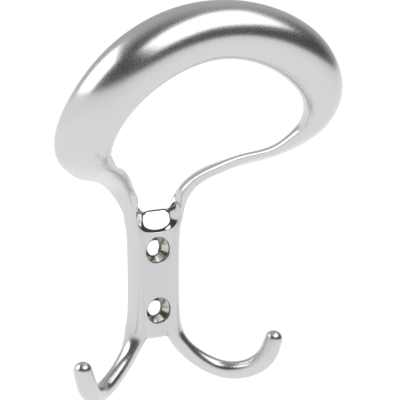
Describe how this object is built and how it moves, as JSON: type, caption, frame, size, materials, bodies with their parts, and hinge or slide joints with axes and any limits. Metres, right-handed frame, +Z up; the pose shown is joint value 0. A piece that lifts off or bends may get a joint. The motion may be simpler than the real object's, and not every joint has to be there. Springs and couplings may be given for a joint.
{
  "type": "hat and coat hook",
  "caption": "One-piece cast wall hook: a fat closed hat loop on two arms above a slim stem with countersunk screw holes, and a pair of ball-tipped coat hooks below.",
  "frame": {"origin": "on the wall face, on the middle plane, midway between the two screw holes", "axes": "+X to the right as seen from the room, +Y into the wall, +Z up; the hooks and the hat loop stand out towards -Y"},
  "size_m": [0.1008, 0.0567, 0.1391],
  "materials": {
    "satin_chrome": "satin"
  },
  "bodies": {
    "root": {"mounting_stem": "satin_chrome", "right_coat_hook": "satin_chrome", "left_coat_hook": "satin_chrome", "right_loop_arm": "satin_chrome", "left_loop_arm": "satin_chrome", "hat_loop_bow": "satin_chrome"}
  },
  "joints": []
}
